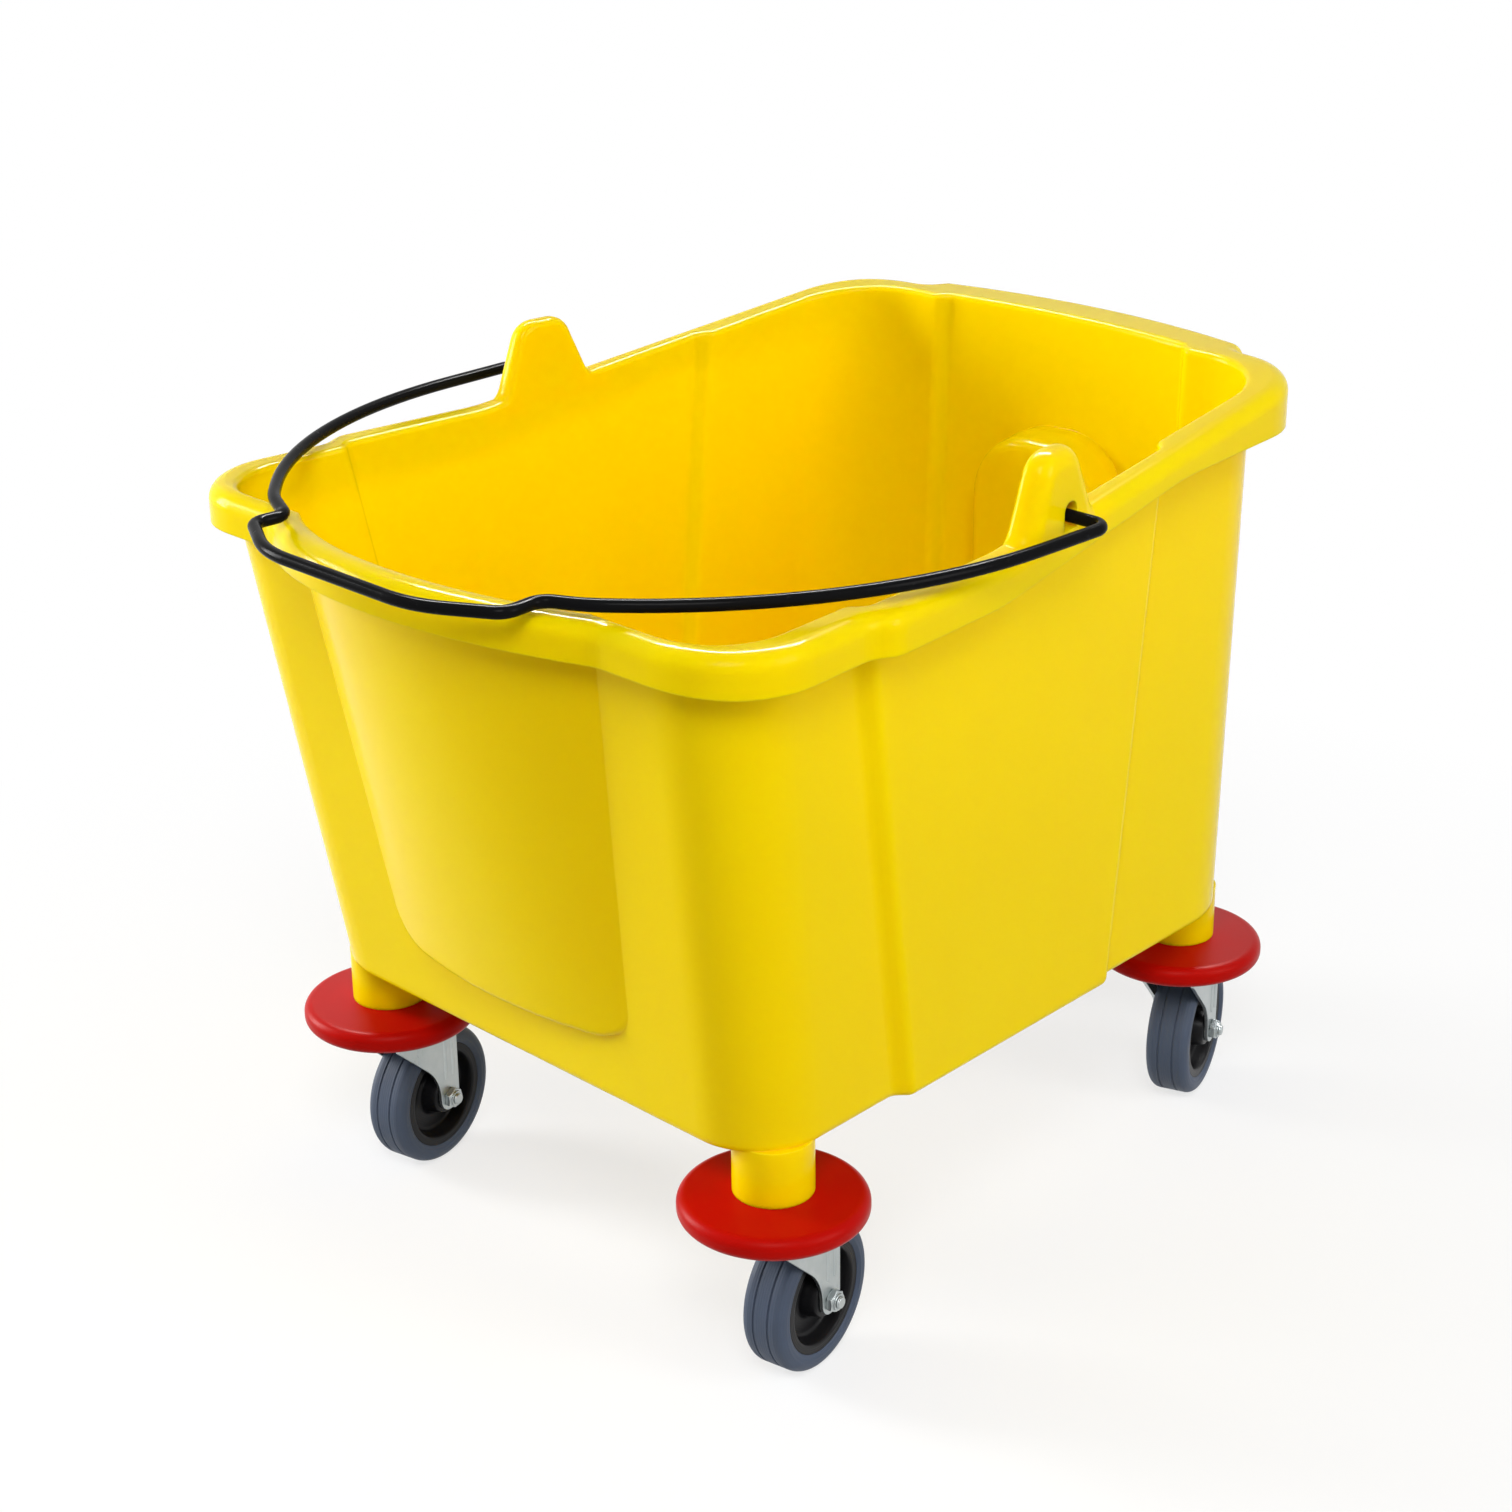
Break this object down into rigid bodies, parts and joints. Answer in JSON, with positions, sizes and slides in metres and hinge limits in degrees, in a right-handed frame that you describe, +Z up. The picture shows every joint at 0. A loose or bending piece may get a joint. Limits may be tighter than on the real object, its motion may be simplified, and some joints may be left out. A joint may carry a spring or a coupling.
{
  "type": "mop bucket",
  "caption": "Wheeled mop bucket: slant-walled plastic tub with a ramped rolled rim, bowed front, pivot ears and a wire bail, standing on swivel casters with round bumper discs",
  "frame": {"origin": "on the floor, under the middle of the box round the whole bucket with its bail lying at the front", "axes": "+X to the right of someone who faces the bowed front, -Y towards that front and the bail's grip, +Z up"},
  "size_m": [0.4024, 0.5258, 0.431],
  "materials": {
    "tub_yellow": "semi-gloss moulded",
    "bail_black": "satin black",
    "bumper_red": "satin moulded",
    "zinc": "bright zinc plate",
    "bearing_steel": "polished",
    "grey_plastic": "matt",
    "hub_black": "satin",
    "tyre_rubber": "matt"
  },
  "bodies": {
    "bucket": {"bucket_body": "tub_yellow", "front_left_bumper": "bumper_red", "front_left_stem": "zinc", "front_left_stem_socket": "grey_plastic", "front_left_bearing_balls": "bearing_steel", "front_right_bumper": "bumper_red", "front_right_stem": "zinc", "front_right_stem_socket": "grey_plastic", "front_right_bearing_balls": "bearing_steel", "rear_left_bumper": "bumper_red", "rear_left_stem": "zinc", "rear_left_stem_socket": "grey_plastic", "rear_left_bearing_balls": "bearing_steel", "rear_right_bumper": "bumper_red", "rear_right_stem": "zinc", "rear_right_stem_socket": "grey_plastic", "rear_right_bearing_balls": "bearing_steel"},
    "bail": {"bail_handle": "bail_black"},
    "front_left_yoke": {"front_left_fork": "zinc", "front_left_axle_bolt": "zinc", "front_left_axle_nut": "zinc", "front_left_axle_sleeve": "zinc"},
    "front_left_wheel": {"front_left_wheel_hub": "hub_black", "front_left_tyre": "tyre_rubber"},
    "front_right_yoke": {"front_right_fork": "zinc", "front_right_axle_bolt": "zinc", "front_right_axle_nut": "zinc", "front_right_axle_sleeve": "zinc"},
    "front_right_wheel": {"front_right_wheel_hub": "hub_black", "front_right_tyre": "tyre_rubber"},
    "rear_left_yoke": {"rear_left_fork": "zinc", "rear_left_axle_bolt": "zinc", "rear_left_axle_nut": "zinc", "rear_left_axle_sleeve": "zinc"},
    "rear_left_wheel": {"rear_left_wheel_hub": "hub_black", "rear_left_tyre": "tyre_rubber"},
    "rear_right_yoke": {"rear_right_fork": "zinc", "rear_right_axle_bolt": "zinc", "rear_right_axle_nut": "zinc", "rear_right_axle_sleeve": "zinc"},
    "rear_right_wheel": {"rear_right_wheel_hub": "hub_black", "rear_right_tyre": "tyre_rubber"}
  },
  "joints": [
    {"name": "bail_swing", "type": "hinge", "parent": "bucket", "child": "bail", "pos_m": [0, 0.01433, 0.39959], "axis": [-1, 0, 0], "range_deg": [0, 170]},
    {"name": "front_left_swivel", "type": "hinge", "parent": "bucket", "child": "front_left_yoke", "pos_m": [-0.1388, -0.13827, 0.0871], "axis": [0, 0, 1], "continuous": true},
    {"name": "front_left_spin", "type": "hinge", "parent": "front_left_yoke", "child": "front_left_wheel", "pos_m": [-0.14386, -0.11338, 0.0375], "axis": [0.9799, 0.1994, 0], "continuous": true},
    {"name": "front_right_swivel", "type": "hinge", "parent": "bucket", "child": "front_right_yoke", "pos_m": [0.1388, -0.13827, 0.0871], "axis": [0, 0, 1], "continuous": true},
    {"name": "front_right_spin", "type": "hinge", "parent": "front_right_yoke", "child": "front_right_wheel", "pos_m": [0.13439, -0.11325, 0.0375], "axis": [0.9848, 0.1736, 0], "continuous": true},
    {"name": "rear_left_swivel", "type": "hinge", "parent": "bucket", "child": "rear_left_yoke", "pos_m": [-0.1125, 0.20023, 0.0871], "axis": [0, 0, 1], "continuous": true},
    {"name": "rear_left_spin", "type": "hinge", "parent": "rear_left_yoke", "child": "rear_left_wheel", "pos_m": [-0.11865, 0.22488, 0.0375], "axis": [0.9703, 0.2419, 0], "continuous": true},
    {"name": "rear_right_swivel", "type": "hinge", "parent": "bucket", "child": "rear_right_yoke", "pos_m": [0.1125, 0.20023, 0.0871], "axis": [0, 0, 1], "continuous": true},
    {"name": "rear_right_spin", "type": "hinge", "parent": "rear_right_yoke", "child": "rear_right_wheel", "pos_m": [0.10402, 0.22417, 0.0375], "axis": [0.9426, 0.3338, 0], "continuous": true}
  ]
}
